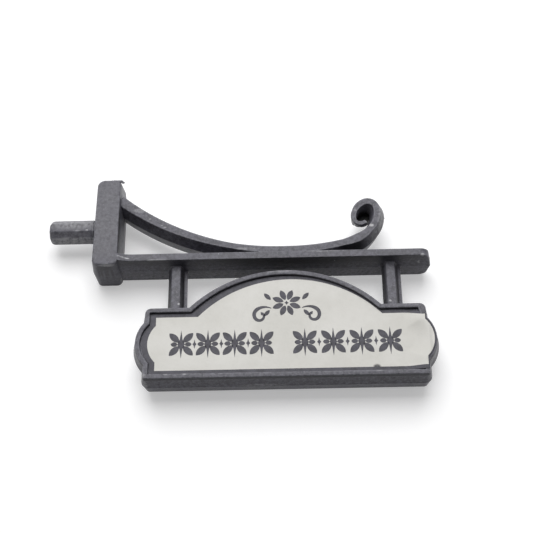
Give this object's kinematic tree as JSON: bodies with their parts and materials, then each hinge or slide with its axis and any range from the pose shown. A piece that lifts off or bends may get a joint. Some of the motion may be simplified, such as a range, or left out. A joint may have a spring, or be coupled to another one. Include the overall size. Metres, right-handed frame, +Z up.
{
  "type": "bracket_sign",
  "caption": "Miniature hanging trade sign: wall peg and plate, beam with scrolled brace, posts and an arched, lobed board with raised rim and printed ornament label",
  "frame": {"origin": "Where the axis of the wall peg meets the wall face of the plate", "axes": "+X runs from the wall along the beam, +Y runs to the back of the sign, +Z runs up; the label faces -Y"},
  "size_m": [0.0502, 0.006, 0.029],
  "materials": {
    "charcoal_plastic": "satin charcoal grey moulded plastic with a fine grain",
    "label_film": "matt off-white printed film"
  },
  "bodies": {
    "root": {"wall_peg": "charcoal_plastic", "wall_plate": "charcoal_plastic", "beam": "charcoal_plastic", "scroll_brace": "charcoal_plastic", "hanger_post_left": "charcoal_plastic", "hanger_post_right": "charcoal_plastic", "sign_board": "charcoal_plastic", "board_rim": "charcoal_plastic", "label": "label_film"}
  },
  "joints": []
}
